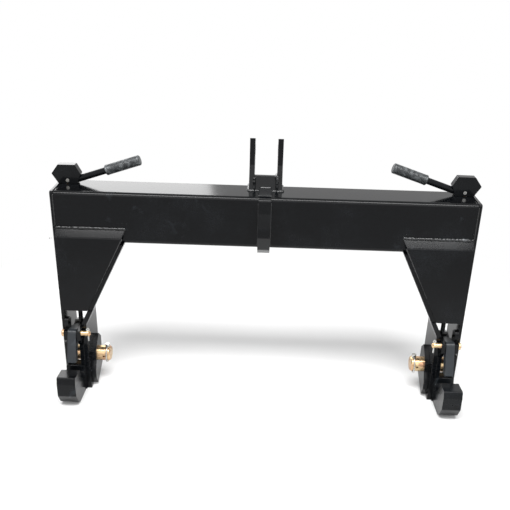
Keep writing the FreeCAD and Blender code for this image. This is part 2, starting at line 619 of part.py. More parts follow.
def make_arm(x0, x1):
    """Arm of the latch, tapering in plan to the slotted eye in the yoke."""
    eye_r = YOKE_PIN / 2.0 + EYE_WALL
    drop = YOKE_PIN_Z - PIVOT_Z
    span = math.hypot(YOKE_ARM, drop)
    across = V(0, -drop / span, YOKE_ARM / span)
    root = V(0, PIVOT_Y, PIVOT_Z)
    eye = V(0, YOKE_PIN_Y, YOKE_PIN_Z)
    corners = [root + across * 7.4, eye + across * eye_r, eye - across * eye_r, root - across * 7.0]
    limb = side_profile([(c.y, c.z) for c in corners], x0, x1)
    limb = limb.fuse(bar_x(x0, x1, YOKE_PIN_Y, YOKE_PIN_Z, 2 * eye_r))
    narrow = ARM_WIDTH / 2.0
    wide = LATCH_HALF + 1.0
    waist = YOKE_PIN_Y - eye_r - 2.0
    for side in (-1, 1):
        plan = [(LATCH_HALF, ARM_SHOULDER), (narrow, waist), (narrow, YOKE_PIN_Y + 2 * eye_r)]
        plan += [(wide, YOKE_PIN_Y + 2 * eye_r), (wide, ARM_SHOULDER)]
        loop = [V(LATCH_X + side * px, y(d), PIVOT_Z - YOKE_ARM) for px, d in plan]
        limb = limb.cut(plate(loop, V(0, 0, 2 * YOKE_ARM)))
    run = V(0, YOKE_ARM / span, drop / span)
    near = eye - run * (0.43 * EYE_WALL + 0.2)
    far = eye + run * (0.1 * EYE_WALL + 0.1)
    half = YOKE_PIN / 2.0 + SLOT_FIT
    step = across * half
    ring = [near + step, far + step, far - step, near - step]
    slot = side_profile([(c.y, c.z) for c in ring], x0 - 1, x1 + 1)
    slot = slot.fuse(bar_x(x0 - 1, x1 + 1, near.y, near.z, 2 * half))
    slot = slot.fuse(bar_x(x0 - 1, x1 + 1, far.y, far.z, 2 * half))
    return limb.cut(slot)


def make_latch():
    """Bell crank: jaw over the hook mouth, arm back to the pull rod."""
    x0 = LATCH_X - LATCH_HALF
    x1 = LATCH_X + LATCH_HALF
    body = make_jaw(x0, x1).fuse(make_arm(x0, x1)).removeSplitter()
    return body.cut(bar_x(x0 - 1, x1 + 1, PIVOT_Y, PIVOT_Z, PIVOT_PIN + 2 * FIT))


def make_yoke():
    """Forked foot of the pull rod that straddles the latch arm."""
    half = YOKE_WIDTH / 2.0
    inside = ARM_WIDTH / 2.0 + 0.4
    pin_y = YOKE_PIN_Y
    pin_z = YOKE_PIN_Z
    cheek = YOKE_PIN / 2.0 + 3.0
    toe = [(pin_y - cheek, pin_z - cheek), (pin_y + cheek, pin_z - cheek)]
    outline = [toe[0], (pin_y - cheek, pin_z + 9.0), (ROD_DEPTH - ROD, YOKE_TOP)]
    outline += [(ROD_DEPTH + ROD, YOKE_TOP - YOKE_FALL), (ROD_DEPTH + ROD, YOKE_TOP - 9.0), toe[1]]
    body = side_profile(outline, LATCH_X - half, LATCH_X + half)
    body = round_side(body, 6.0, [toe[0]])
    body = round_side(body, 4.0, [toe[1]])
    slot = [(pin_y - cheek - 1, pin_z - cheek - 1), (pin_y - cheek - 1, pin_z + 15.0)]
    slot += [(pin_y, pin_z + 10.0), (pin_y + 9.0, pin_z + 6.5), (pin_y + 12.0, pin_z - cheek - 1)]
    body = body.cut(side_profile(slot, LATCH_X - inside, LATCH_X + inside))
    body = body.cut(bar_z(LATCH_X, ROD_DEPTH, ROD_FOOT, YOKE_TOP + 1, ROD))
    return body.cut(bar_x(LATCH_X - half - 1, LATCH_X + half + 1, pin_y, pin_z, YOKE_PIN))


def make_yoke_pin():
    """Cross pin of the yoke, working in the slot of the latch arm."""
    half = YOKE_WIDTH / 2.0
    return bar_x(LATCH_X - half, LATCH_X + half, YOKE_PIN_Y, YOKE_PIN_Z, YOKE_PIN)


def make_pull_rod():
    """Round rod from the yoke up through the beam, flattened at the top."""
    half = ROD / 2.0
    rod = bar_z(LATCH_X, ROD_DEPTH, ROD_FOOT, CAM_PIN_Z, ROD)
    rod = rod.fuse(bar_y(LATCH_X, ROD_DEPTH - half, ROD_DEPTH + half, CAM_PIN_Z, ROD))
    low = BEAM_TOP - LIFT - CAM_PIN
    high = CAM_PIN_Z + ROD
    for side in (-1, 1):
        near = ROD_DEPTH + side * TANG / 2.0
        far = ROD_DEPTH + side * ROD
        rod = rod.cut(block(LATCH_X - ROD, LATCH_X + ROD, min(near, far), max(near, far), low, high))
    rod = rod.removeSplitter()
    rod = rod.cut(bar_y(LATCH_X, ROD_DEPTH - half, ROD_DEPTH + half, CAM_PIN_Z, CAM_PIN))
    return rod.cut(bar_x(LATCH_X - ROD, LATCH_X + ROD, ROD_DEPTH, stop_pin_z(), STOP_PIN))


def stop_pin_z():
    """Height of the cross pin that carries the spring washer."""
    return SPRING_FOOT - WASHER_THICK - STOP_PIN / 2.0


def make_washer():
    """Washer under the foot of the return spring."""
    low = SPRING_FOOT - WASHER_THICK
    return bar_z(LATCH_X, ROD_DEPTH, low, SPRING_FOOT, WASHER).cut(
        bar_z(LATCH_X, ROD_DEPTH, low, SPRING_FOOT, ROD))


def make_stop_pin():
    """Cross pin through the rod under the spring washer."""
    half = WASHER / 2.0 - 2.0
    return bar_x(LATCH_X - half, LATCH_X + half, ROD_DEPTH, stop_pin_z(), STOP_PIN)


def make_spring():
    """Compression spring on the rod, between the beam and the washer."""
    wire = SPRING_WIRE / 2.0
    foot = SPRING_FOOT + wire
    rise = BEAM_FOOT - wire - foot
    steps = int(SPRING_TURNS * RING_STEPS / 2)
    rings = []
    for i in range(steps + 1):
        turn = 2 * math.pi * SPRING_TURNS * i / steps
        out = V(math.cos(turn), math.sin(turn), 0)
        centre = V(LATCH_X, y(ROD_DEPTH), foot + rise * i / steps) + out * SPRING_RADIUS
        loop = []
        for k in range(WIRE_SIDES):
            bend = 2 * math.pi * k / WIRE_SIDES
            loop.append(centre + out * (wire * math.cos(bend)) + PLUMB * (wire * math.sin(bend)))
        rings.append(loop)
    return facet_tube(rings, False)


def make_rod_bush():
    """Guide bush for the rod in the beam top."""
    outer = ROD + 2 * BUSH_WALL
    bush = bar_z(LATCH_X, ROD_DEPTH, BEAM_TOP - BUSH_LENGTH, BEAM_TOP, outer)
    bore = ROD + 2 * FIT
    return bush.cut(bar_z(LATCH_X, ROD_DEPTH, BEAM_TOP - BUSH_LENGTH, BEAM_TOP, bore))


def make_cam():
    """Six cornered release cam with a slot for the rod and the pin bore.

    Corners are placed from the cam pin, so every flat has its own lift.
    """
    foot = CAM_GAP - CAM_PIN_RISE
    corners = [(-16.5, foot), (15.4, foot), (26.6, 11.4), (14.9, 27.2), (-14.3, 27.5), (-22.8, 11.7)]
    loop = [(LATCH_X + dx, CAM_PIN_Z + dz) for dx, dz in corners]
    y0 = ROD_DEPTH - CAM_THICK / 2.0
    y1 = ROD_DEPTH + CAM_THICK / 2.0
    cam = round_front(front_profile(loop, y0, y1), 2.0, loop)
    half = TANG / 2.0 + CAM_GAP
    sweep = [(-5.0, 6.0), (-5.0, -9.0), (17.0, -9.0), (32.0, 2.0), (32.0, 7.0), (4.0, 7.0)]
    slot = [(LATCH_X + dx, CAM_PIN_Z + dz) for dx, dz in sweep]
    cam = cam.cut(front_profile(slot, ROD_DEPTH - half, ROD_DEPTH + half))
    return cam.cut(bar_y(LATCH_X, y0 - 1, y1 + 1, CAM_PIN_Z, CAM_PIN + 2 * FIT))


def make_cam_pin():
    """Rivet that hangs the cam on the rod."""
    half = CAM_THICK / 2.0 + RIVET_HEAD
    return bar_y(LATCH_X, ROD_DEPTH - half, ROD_DEPTH + half, CAM_PIN_Z, CAM_PIN)


def lever_bar(start, length, dia):
    """Round bar on the lever axis, from a distance along it."""
    slope = math.radians(LEVER_SLOPE)
    foot_z = BEAM_TOP + LEVER_GAP + LEVER / 2.0 / math.cos(slope)
    foot = V(LATCH_X - LEVER_INSET, y(ROD_DEPTH), foot_z)
    toward = V(-math.cos(slope), 0, math.sin(slope))
    return Part.makeCylinder(dia / 2.0, length, foot + toward * start, toward)


def make_lever():
    """Round lever welded to the cam, running inward above the beam."""
    return lever_bar(0, LEVER_LENGTH, LEVER).cut(make_cam())


def make_grip():
    """Rubber grip sleeve with bevelled ends, pushed over the lever."""
    grip = lever_bar(GRIP_START, GRIP_LENGTH, GRIP)
    rims = [e for e in grip.Edges if e.Curve.TypeId == "Part::GeomCircle"]
    return grip.makeChamfer(GRIP_BEVEL, rims).cut(lever_bar(0, LEVER_LENGTH, LEVER))


def write(name, shape):
    """Write one solid as its own STEP file."""
    shape.exportStep("parts/" + name + ".step")


def main():
    """Build every piece and write it under its own name."""
    os.makedirs("parts", exist_ok=True)
    write("beam", make_beam())
    write("top_hook", make_top_hook())
    write("right_ear", make_ear())
    write("left_ear", make_ear().mirror(V(0, 0, 0), ACROSS))
    write("ear_cross_plate", make_cross_plate())
    leg = {
        "side_plate": make_side_plate(),
        "inner_wall": make_inner_wall(),
        "gusset": make_gusset(),
        "lower_hook": make_lower_hook(),
        "pin_boss": make_boss(),
        "lift_pin": make_lift_pin(),
        "linch_pin": make_linch_pin(),
        "linch_ring": make_linch_ring(),
        "outer_lug": make_outer_lug(),
        "inner_lug": make_inner_lug(),
        "pivot_pin": make_pivot_pin(),
        "cotter_pin": make_cotter(),
        "latch": make_latch(),
        "yoke": make_yoke(),
        "yoke_pin": make_yoke_pin(),
        "pull_rod": make_pull_rod(),
        "spring_washer": make_washer(),
        "spring_stop_pin": make_stop_pin(),
        "return_spring": make_spring(),
        "rod_bush": make_rod_bush(),
        "cam": make_cam(),
        "cam_pin": make_cam_pin(),
        "lever": make_lever(),
        "grip": make_grip(),
    }
    for name, shape in leg.items():
        write("right_" + name, shape)
        write("left_" + name, shape.mirror(V(0, 0, 0), ACROSS))


main()
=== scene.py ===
"""Three point quick hitch: finishes, weld beads, ribbed grips, studio and camera.

Every length is in metres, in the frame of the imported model: X across the
tractor, Y from the implement to the tractor, Z up.
"""
import logging
import math
import random
from dataclasses import dataclass, field
from enum import Enum
from typing import Iterable

import bmesh
import bpy
from mathutils import Matrix, Vector


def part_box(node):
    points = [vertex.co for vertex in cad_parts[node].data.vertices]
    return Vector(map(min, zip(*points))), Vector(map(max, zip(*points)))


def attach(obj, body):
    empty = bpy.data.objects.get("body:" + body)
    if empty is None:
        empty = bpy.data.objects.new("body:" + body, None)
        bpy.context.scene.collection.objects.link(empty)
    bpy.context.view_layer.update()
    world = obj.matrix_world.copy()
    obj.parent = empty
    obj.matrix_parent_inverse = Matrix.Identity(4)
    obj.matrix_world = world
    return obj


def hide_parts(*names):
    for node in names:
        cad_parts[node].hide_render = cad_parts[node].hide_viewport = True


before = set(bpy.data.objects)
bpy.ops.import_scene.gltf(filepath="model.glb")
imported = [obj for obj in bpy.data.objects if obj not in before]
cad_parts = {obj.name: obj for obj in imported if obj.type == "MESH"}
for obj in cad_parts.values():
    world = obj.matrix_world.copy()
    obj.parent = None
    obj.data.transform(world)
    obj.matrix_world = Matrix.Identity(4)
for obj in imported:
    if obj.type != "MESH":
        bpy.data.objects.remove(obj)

logging.basicConfig(level=logging.INFO, format="%(message)s")
LOG = logging.getLogger("quick_hitch")

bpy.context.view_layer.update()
MM = 0.001

# drops of spatter beside a weld
SPATTER_COUNT = 9
SPATTER_RADIUS_MM = (0.35, 0.9)
SPATTER_SPREAD_MM = 4.5


class Side(Enum):
    """The two legs of the hitch, and the way each one lies along X."""

    RIGHT = 1
    LEFT = -1

    @property
    def prefix(self) -> str:
        """Start of the names of this side's pieces."""
        return self.name.lower() + "_"


class Wear(Enum):
    """How much a painted piece has been handled: dust and scuff amounts."""

    FRESH = (0.25, 0.10)
    HANDLED = (0.5, 0.3)
    SCUFFED = (0.8, 0.7)


# ---- small tools ------------------------------------------------------------
def linear(code: str) -> tuple[float, float, float, float]:
    """Turn an sRGB hex colour to linear light.

    Args:
        code: colour as six hex digits.

    Returns:
        Red, green, blue and alpha, linear.
    """
    parts = [int(code[i:i + 2], 16) / 255.0 for i in (0, 2, 4)]
    out = [p / 12.92 if p <= 0.04045 else ((p + 0.055) / 1.055) ** 2.4 for p in parts]
    return out[0], out[1], out[2], 1.0


def add_node(
    tree: bpy.types.NodeTree,
    kind: str,
    values: dict[str, object] | None = None,
    links: dict[str, bpy.types.NodeSocket] | None = None,
    **settings: object,
) -> bpy.types.Node:
    """Add one shader node with its settings, socket values and links.

    Args:
        tree: node tree the node goes into.
        kind: node type without its ShaderNode prefix.
        values: constants for named input sockets.
        links: outputs that feed named input sockets.
        settings: properties of the node itself.

    Returns:
        The new node.
    """
    node = tree.nodes.new("ShaderNode" + kind)
    for name, value in settings.items():
        setattr(node, name, value)
    for name, value in (values or {}).items():
        node.inputs[int(name) if name.isdigit() else name].default_value = value
    for name, socket in (links or {}).items():
        tree.links.new(socket, node.inputs[int(name) if name.isdigit() else name])
    return node


def ramp(
    tree: bpy.types.NodeTree, source: bpy.types.NodeSocket, low: float, high: float,
    to_low: float = 0.0, to_high: float = 1.0,
) -> bpy.types.NodeSocket:
    """Spread a value between two levels and clamp it.

    Args:
        tree: node tree to work in.
        source: value to spread.
        low: value that gives to_low.
        high: value that gives to_high.
        to_low: result at low.
        to_high: result at high.

    Returns:
        The spread value.
    """
    spread = {"From Min": low, "From Max": high, "To Min": to_low, "To Max": to_high}
    return add_node(tree, "MapRange", spread, {"Value": source}).outputs["Result"]


def dress(names: Iterable[str], material: bpy.types.Material) -> None:
    """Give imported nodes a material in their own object's slots.

    Args:
        names: node names.
        material: finish to give them.
    """
    for name in names:
        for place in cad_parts[name].material_slots:
            place.material = material


def new_piece(name: str, shape: bmesh.types.BMesh, material: bpy.types.Material) -> bpy.types.Object:
    """Turn a finished bmesh into an object at the origin.

    Args:
        name: name of the piece.
        shape: the mesh, in place; it is freed here.
        material: its finish.

    Returns:
        The new object.
    """
    bmesh.ops.recalc_face_normals(shape, faces=shape.faces)
    mesh = bpy.data.meshes.new(name)
    for face in shape.faces:
        face.smooth = True
    shape.to_mesh(mesh)
    shape.free()
    mesh.materials.append(material)
    piece = bpy.data.objects.new(name, mesh)
    bpy.context.scene.collection.objects.link(piece)
    LOG.info("made %s: %d faces", name, len(mesh.polygons))
    return piece


def middle(node: str) -> Vector:
    """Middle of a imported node's box."""
    low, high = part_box(node)
    return (low + high) / 2.0


# ---- finishes -----------------------------------------------------------------
@dataclass(frozen=True)
class Enamel:
    """Black alkyd enamel, sprayed wet over blasted plate.

    It gives a deep gloss that mirrors the room, with the faint orange peel of
    a spray gun, a little dusty film and the pale rubs of handling. Where its pale
    colour is set light, as on the latch and the welds, the same patches are
    also painted sheen and glints.
    """

    name: str = "alkyd_enamel_sprayed"
    colour: str = "08090b"
    # pale colour of the film and rubs; set light, as on the latch and the welds, it also paints in sheen
    dust: str = "5d666e"
    wear: Wear = Wear.FRESH
    roughness: float = 0.13
    gloss: float = 0.17
    peel_mm: float = 3.2
    peel_height_mm: float = 0.012
    edge_mm: float = 0.9

    def build(self) -> bpy.types.Material:
        """Make the enamel's node material.

        Returns:
            The material.
        """
        material = bpy.data.materials.new(self.name)
        material.use_nodes = True
        tree = material.node_tree
        shader = tree.nodes["Principled BSDF"]
        dusty, scuffed = self.wear.value
        place = add_node(tree, "TexCoord").outputs["Object"]
        cloud = add_node(
            tree, "TexNoise", {"Scale": 9.0, "Detail": 6.0, "Roughness": 0.62}, {"Vector": place})
        fine = add_node(tree, "TexNoise", {"Scale": 420.0, "Detail": 2.0}, {"Vector": place})
        rubs = add_node(
            tree, "TexNoise", {"Scale": 26.0, "Detail": 4.0, "Distortion": 0.8}, {"Vector": place})
        film = ramp(tree, cloud.outputs["Fac"], 0.50, 0.78, 0.0, 0.16 * dusty)
        rub = ramp(tree, rubs.outputs["Fac"], 0.66, 0.80, 0.0, 0.30 * scuffed)
        grit = ramp(tree, fine.outputs["Fac"], 0.45, 0.75, 0.35, 1.0)
        haze = add_node(tree, "Math", links={"0": film, "1": grit}, operation="MULTIPLY").outputs[0]
        pale = add_node(tree, "Math", links={"0": haze, "1": rub}, operation="ADD").outputs[0]
        # mix the pale colour into the black: film and rubs, and on the latch and welds also painted sheen
        tint = add_node(
            tree, "Mix", {"6": linear(self.colour), "7": linear(self.dust)}, {"0": pale}, data_type="RGBA")
        rough = ramp(tree, pale, 0.0, 0.5, self.roughness, self.roughness + 0.32)
        tree.links.new(tint.outputs[2], shader.inputs["Base Color"])
        tree.links.new(rough, shader.inputs["Roughness"])
        shader.inputs["IOR"].default_value = 1.5
        shader.inputs["Specular IOR Level"].default_value = self.gloss
        peel = add_node(
            tree, "TexNoise", {"Scale": 1.0 / (self.peel_mm * MM), "Detail": 1.5}, {"Vector": place})
        soft = add_node(tree, "Bevel", {"Radius": self.edge_mm * MM}, samples=6)
        bump = add_node(
            tree, "Bump", {"Strength": 0.35, "Distance": self.peel_height_mm * MM},
            {"Height": peel.outputs["Fac"], "Normal": soft.outputs["Normal"]})
        tree.links.new(bump.outputs["Normal"], shader.inputs["Normal"])
        return material


@dataclass(frozen=True)
class PlatedSteel:
    """Turned steel with a thin plated or oiled surface.

    The lathe's fine rings stretch its highlight, and the plating drifts in
    colour from place to place.
    """

    name: str
    colour: str
    drift: str
    roughness: float
    ring_mm: float = 0.55
    ring_axis: str = "X"
    metallic: float = 1.0

    def build(self) -> bpy.types.Material:
        """Make the plated steel's node material.

        Returns:
            The material.
        """
        material = bpy.data.materials.new(self.name)
        material.use_nodes = True
        tree = material.node_tree
        shader = tree.nodes["Principled BSDF"]
        place = add_node(tree, "TexCoord").outputs["Object"]
        patch = add_node(
            tree, "TexNoise", {"Scale": 55.0, "Detail": 5.0, "Distortion": 0.5}, {"Vector": place})
        tint = add_node(
            tree, "Mix", {"6": linear(self.colour), "7": linear(self.drift)},
            {"0": ramp(tree, patch.outputs["Fac"], 0.38, 0.66)}, data_type="RGBA")
        tree.links.new(tint.outputs[2], shader.inputs["Base Color"])
        shader.inputs["Metallic"].default_value = self.metallic
        wear = add_node(tree, "TexNoise", {"Scale": 160.0, "Detail": 3.0}, {"Vector": place})
        rough = ramp(tree, wear.outputs["Fac"], 0.3, 0.7, self.roughness - 0.06, self.roughness + 0.12)
        tree.links.new(rough, shader.inputs["Roughness"])
        rings = add_node(
            tree, "TexWave", {"Scale": 0.314 / (self.ring_mm * MM), "Distortion": 0.6, "Detail": 1.0},
            {"Vector": place}, bands_direction=self.ring_axis)
        bump = add_node(
            tree, "Bump", {"Strength": 0.25, "Distance": 0.03 * MM}, {"Height": rings.outputs["Fac"]})
        tree.links.new(bump.outputs["Normal"], shader.inputs["Normal"])
        return material


@dataclass(frozen=True)
class MouldedRubber:
    """Moulded nitrile rubber: dark grey, soft sheen, bloom on the high spots."""

    name: str = "nitrile_rubber_moulded"
    colour: str = "26292b"
    bloom: str = "8d9294"

    def build(self) -> bpy.types.Material:
        """Make the rubber's node material.

        Returns:
            The material.
        """
        material = bpy.data.materials.new(self.name)
        material.use_nodes = True
        tree = material.node_tree
        shader = tree.nodes["Principled BSDF"]
        place = add_node(tree, "TexCoord").outputs["Object"]
        patch = add_node(tree, "TexNoise", {"Scale": 120.0, "Detail": 5.0}, {"Vector": place})
        tint = add_node(
            tree, "Mix", {"6": linear(self.colour), "7": linear(self.bloom)},
            {"0": ramp(tree, patch.outputs["Fac"], 0.45, 0.8, 0.0, 0.6)}, data_type="RGBA")
        tree.links.new(tint.outputs[2], shader.inputs["Base Color"])
        shader.inputs["Roughness"].default_value = 0.42
        shader.inputs["IOR"].default_value = 1.52
        grain = add_node(tree, "TexNoise", {"Scale": 1500.0, "Detail": 2.0}, {"Vector": place})
        bump = add_node(
            tree, "Bump", {"Strength": 0.3, "Distance": 0.05 * MM}, {"Height": grain.outputs["Fac"]})
        tree.links.new(bump.outputs["Normal"], shader.inputs["Normal"])
        return material


@dataclass
class Finishes:
    """Every finish of the hitch, made once."""

    # deep black gloss over flat plate
    plate: bpy.types.Material = field(default_factory=lambda: Enamel(wear=Wear.HANDLED).build())
    # black with the coarse skin of a flame cut edge
    forged: bpy.types.Material = field(default_factory=lambda: Enamel(
        "alkyd_enamel_on_flame_cut_steel", wear=Wear.SCUFFED, roughness=0.2,
        peel_mm=1.6, peel_height_mm=0.09).build())
    # paler grey black: partly wear, dulled by the pin that slides over it, partly a painted reflection of
    # the overhead lamp on the latch's up-facing slope
    rubbed: bpy.types.Material = field(default_factory=lambda: Enamel(
        "alkyd_enamel_rubbed_with_painted_sheen", colour="24282c", dust="7d868d", wear=Wear.SCUFFED,
        roughness=0.3, gloss=0.4, peel_mm=1.6, peel_height_mm=0.09).build())
    # pale patches on the ripples of a weld: partly a dusty film, partly painted glints of light; the gloss
    # adds real highlights
    bead: bpy.types.Material = field(default_factory=lambda: Enamel(
        "alkyd_enamel_on_weld", dust="aeb4b8", wear=Wear.SCUFFED, roughness=0.12, gloss=0.5,
        peel_mm=1.2, peel_height_mm=0.05, edge_mm=0.2).build())
    # warm gold with a brownish drift
    yellow_zinc: bpy.types.Material = field(default_factory=lambda: PlatedSteel(
        "steel_yellow_zinc_passivated", "d9bf93", "b98f72", 0.26).build())
    # pale grey metal with fine rings
    bright_zinc: bpy.types.Material = field(default_factory=lambda: PlatedSteel(
        "steel_bright_zinc_plated", "c9c9c6", "9d9a92", 0.3, ring_axis="Z").build())
    # bare grey rod with lathe rings
    turned: bpy.types.Material = field(default_factory=lambda: PlatedSteel(
        "mild_steel_turned", "8d8f91", "6d6a66", 0.34, ring_axis="Z").build())
    # dark, slightly oily wire
    spring: bpy.types.Material = field(default_factory=lambda: PlatedSteel(
        "spring_steel_oil_tempered", "5a5c60", "3c3d40", 0.32, ring_axis="Z").build())
    # dull brownish yellow
    bronze: bpy.types.Material = field(default_factory=lambda: PlatedSteel(
        "bronze_sintered_turned", "b48a52", "8d6a3f", 0.36, ring_axis="Z").build())
    # dark grey with a pale bloom on the ribs
    rubber: bpy.types.Material = field(default_factory=lambda: MouldedRubber().build())


# ---- weld beads -------------------------------------------------------------------
@dataclass
class Bead:
    """One run of weld, laid along a straight seam with rippled scales."""

    start: Vector
    end: Vector
    radius: float = 2.6 * MM
    pitch: float = 2.4 * MM
    sides: int = 10

    def lay(self, shape: bmesh.types.BMesh, dice: random.Random) -> None:
        """Add this run to a mesh.

        Args:
            shape: mesh that takes the run.
            dice: seeded random numbers for the hand of the welder.
        """
        run = self.end - self.start
        length = run.length
        along = run.normalized()
        turn = along.to_track_quat("Z", "Y").to_matrix().to_4x4()
        centre = Matrix.Translation((self.start + self.end) / 2.0)
        rod = bmesh.new()
        bmesh.ops.create_cone(
            rod, cap_ends=True, segments=self.sides, radius1=self.radius, radius2=self.radius,
            depth=length, matrix=centre @ turn)
        long_edges = [
            e for e in rod.edges if abs((e.verts[0].co - e.verts[1].co).dot(along)) > length * 0.9]
        cuts = max(2, int(length / (self.pitch / 3.0)))
        bmesh.ops.subdivide_edges(rod, edges=long_edges, cuts=cuts, use_grid_fill=True)
        steps = int(length / self.pitch) + 2
        wide = [dice.uniform(0.86, 1.16) for _ in range(steps)]
        drift = [dice.uniform(-0.22, 0.22) for _ in range(steps)]
        sideways = along.orthogonal().normalized()
        for vert in rod.verts:
            off = vert.co - self.start
            far = off.dot(along)
            arm = off - along * far
            level = far / self.pitch
            scale = int(max(0, min(steps - 2, level)))
            share = level - scale
            size = wide[scale] * (1.0 - share) + wide[scale + 1] * share
            scallop = 0.86 + 0.2 * math.sqrt(max(0.0, 1.0 - (2.0 * share - 0.9) ** 2 / 1.3))
            fade = min(1.0, 0.35 + 1.6 * min(far, length - far) / self.radius)
            bend = drift[scale] * (1.0 - share) + drift[scale + 1] * share
            vert.co = (
                self.start + along * far + arm * size * scallop * max(0.35, fade)
                + sideways * bend * self.radius * 0.5)
        held = bpy.data.meshes.new("bead")
        rod.to_mesh(held)
        rod.free()
        shape.from_mesh(held)
        bpy.data.meshes.remove(held)


def weld_piece(
    name: str, body: str, beads: list[Bead], spots: list[Vector], material: bpy.types.Material, seed: int
) -> bpy.types.Object:
    """Lay a group of beads and spatter as one piece on one body.

    Args:
        name: name of the piece.
        body: body it rides on.
        beads: runs of weld.
        spots: middles of spatter clusters.
        material: finish of the weld.
        seed: start of the random numbers.

    Returns:
        The finished piece.
    """
    dice = random.Random(seed)
    shape = bmesh.new()
    for bead in beads:
        bead.lay(shape, dice)
    for spot in spots:
        for _ in range(SPATTER_COUNT):
            size = dice.uniform(*SPATTER_RADIUS_MM) * MM
            away = Vector([
                dice.gauss(0.0, SPATTER_SPREAD_MM) * MM, 0.0, dice.gauss(0.0, SPATTER_SPREAD_MM) * MM])
            bmesh.ops.create_icosphere(
                shape, subdivisions=1, radius=size, matrix=Matrix.Translation(spot + away))
    piece = new_piece(name, shape, material)
    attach(piece, body)
    return piece


# ---- sub-assemblies -----------------------------------------------------------------
@dataclass
class MiddleGroup:
    """Cross beam, top hook, top link ears and cross plate, with their welds."""

    finishes: Finishes
    body: str = "frame"
    ear_foot: float = 36 * MM
    ear_heel: float = 70 * MM
    tongue_end: float = 38 * MM
    tongue_top: float = 5 * MM

    def dress(self) -> None:
        """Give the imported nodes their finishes."""
        dress(["beam", "right_ear", "left_ear", "ear_cross_plate"], self.finishes.plate)
        dress(["top_hook"], self.finishes.forged)

    def build_welds(self) -> None:
        """Lay the beads of the top hook, the ears and the cross plate."""
        beam_low, beam_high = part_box("beam")
        hook_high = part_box("top_hook")[1]
        top = beam_high.z
        front = beam_low.y
        beads: list[Bead] = []
        for way in (1, -1):
            side = way * hook_high.x
            beads.append(Bead(
                Vector((side, front, beam_low.z + 6 * MM)),
                Vector((side, front, top - 8 * MM)), 2.0 * MM))
            ear_low, ear_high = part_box("right_ear" if way > 0 else "left_ear")
            inner = ear_low.x if way > 0 else ear_high.x
            outer = ear_high.x if way > 0 else ear_low.x
            foot = front + self.ear_foot
            beads.append(Bead(
                Vector((inner - way * 1 * MM, foot, top)),
                Vector((outer + way * 2 * MM, foot, top)), 3.2 * MM))
            beads.append(Bead(
                Vector((outer, foot, top)), Vector((outer, front + self.ear_heel, top)), 3.0 * MM))
            beads.append(Bead(
                Vector((side, foot + 1 * MM, top)), Vector((side, front + 8 * MM, top)), 2.2 * MM))
            tie_low, tie_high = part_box("ear_cross_plate")
            beads.append(Bead(
                Vector((inner, tie_low.y, top + 2 * MM)), Vector((inner, tie_low.y, tie_high.z)), 2.4 * MM))
            if way > 0:
                beads.append(Bead(
                    Vector((inner, tie_low.y - 1 * MM, tie_high.z)),
                    Vector((inner, tie_high.y, tie_high.z)), 3.6 * MM))
            beads.append(Bead(
                Vector((side, tie_low.y, top)), Vector((inner, tie_low.y, top)), 2.2 * MM))
        beads.append(Bead(
            Vector((-hook_high.x, front + self.tongue_end, top + self.tongue_top)),
            Vector((hook_high.x, front + self.tongue_end, top + self.tongue_top)), 3.2 * MM, 4.0 * MM))
        weld_piece("middle_welds", self.body, beads, [], self.finishes.bead, 5)


